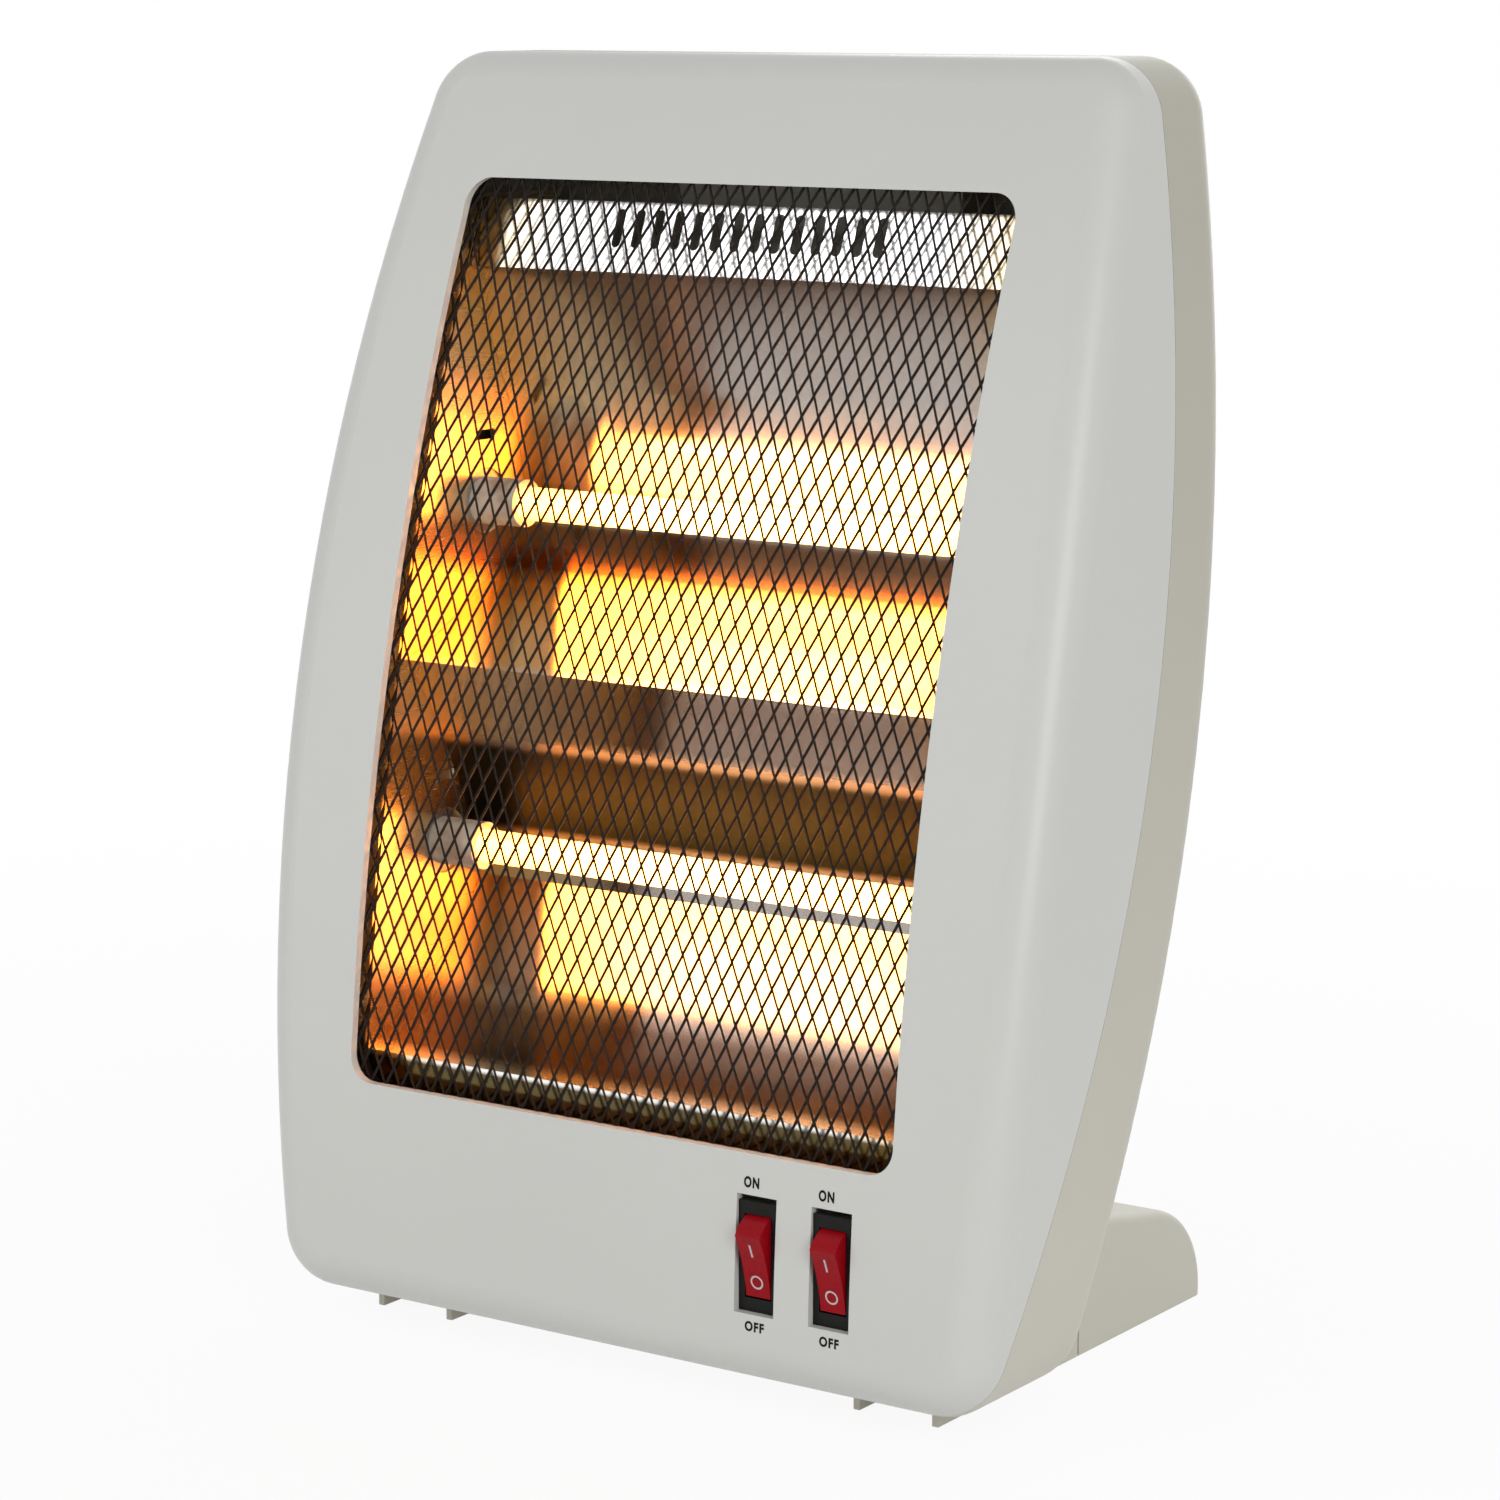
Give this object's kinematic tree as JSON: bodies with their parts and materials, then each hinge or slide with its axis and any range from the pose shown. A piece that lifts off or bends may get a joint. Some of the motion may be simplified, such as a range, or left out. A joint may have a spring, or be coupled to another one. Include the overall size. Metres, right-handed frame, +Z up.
{
  "type": "quartz halogen heater",
  "caption": "Upright portable radiant heater: a bowed moulded housing on channel feet holds glowing quartz tubes in a trough reflector behind an expanded-metal guard.",
  "frame": {"origin": "on the floor below the centre of the overall width and depth", "axes": "+Z up, -Y towards the side that the heat leaves, +X to the right seen from the front"},
  "size_m": [0.2674, 0.1762, 0.374],
  "materials": {
    "housing": "satin",
    "rear_housing": "satin",
    "foot": "satin",
    "guard": "satin",
    "reflector": "polished",
    "end_plate": "polished",
    "bright_steel": "brushed",
    "quartz": "polished",
    "coil": "matt",
    "ceramic": "matt",
    "brass": "satin",
    "screw": "satin",
    "rocker": "gloss",
    "switch_case": "satin",
    "bracket": "satin",
    "plunger": "satin",
    "spring": "satin",
    "grommet": "matt",
    "terminal": "satin"
  },
  "bodies": {
    "housing": {"front_panel": "housing", "rear_cover": "rear_housing", "left_foot": "foot", "right_foot": "foot", "guard_mesh": "guard", "reflector": "reflector", "end_plate_left": "end_plate", "end_plate_right": "end_plate", "heat_shield": "bright_steel", "tube_holder_left": "bright_steel", "tube_holder_right": "bright_steel", "quartz_tube_upper": "quartz", "quartz_tube_lower": "quartz", "heating_coil_upper": "coil", "heating_coil_lower": "coil", "ceramic_end_upper_left": "ceramic", "ceramic_end_upper_right": "ceramic", "ceramic_end_lower_left": "ceramic", "ceramic_end_lower_right": "ceramic", "element_terminals": "brass", "thermal_cutout": "bracket", "switch_body_1": "switch_case", "switch_body_2": "switch_case", "switch_bracket": "bracket", "switch_terminals": "brass", "tilt_switch_bracket": "bracket", "tilt_switch_body": "switch_case", "terminal_block": "terminal", "cable_inlet": "grommet", "cover_screws": "screw", "foot_screws": "screw", "reflector_screws": "screw", "switch_screws": "screw"},
    "rocker_1": {"rocker_1": "rocker"},
    "rocker_2": {"rocker_2": "rocker"},
    "tilt_plunger": {"tilt_plunger": "plunger", "tilt_spring": "spring"}
  },
  "joints": [
    {"name": "rocker_1_tilt", "type": "hinge", "parent": "housing", "child": "rocker_1", "pos_m": [0.0515, -0.0776, 0.0451], "axis": [1, 0, 0], "range_deg": [-34, 0]},
    {"name": "rocker_2_tilt", "type": "hinge", "parent": "housing", "child": "rocker_2", "pos_m": [0.0764, -0.0776, 0.0451], "axis": [1, 0, 0], "range_deg": [-34, 0]},
    {"name": "plunger_slide", "type": "slide", "parent": "housing", "child": "tilt_plunger", "axis": [0, 0, -1], "range_m": [0, 0.006], "deforming": ["tilt_spring"]}
  ]
}
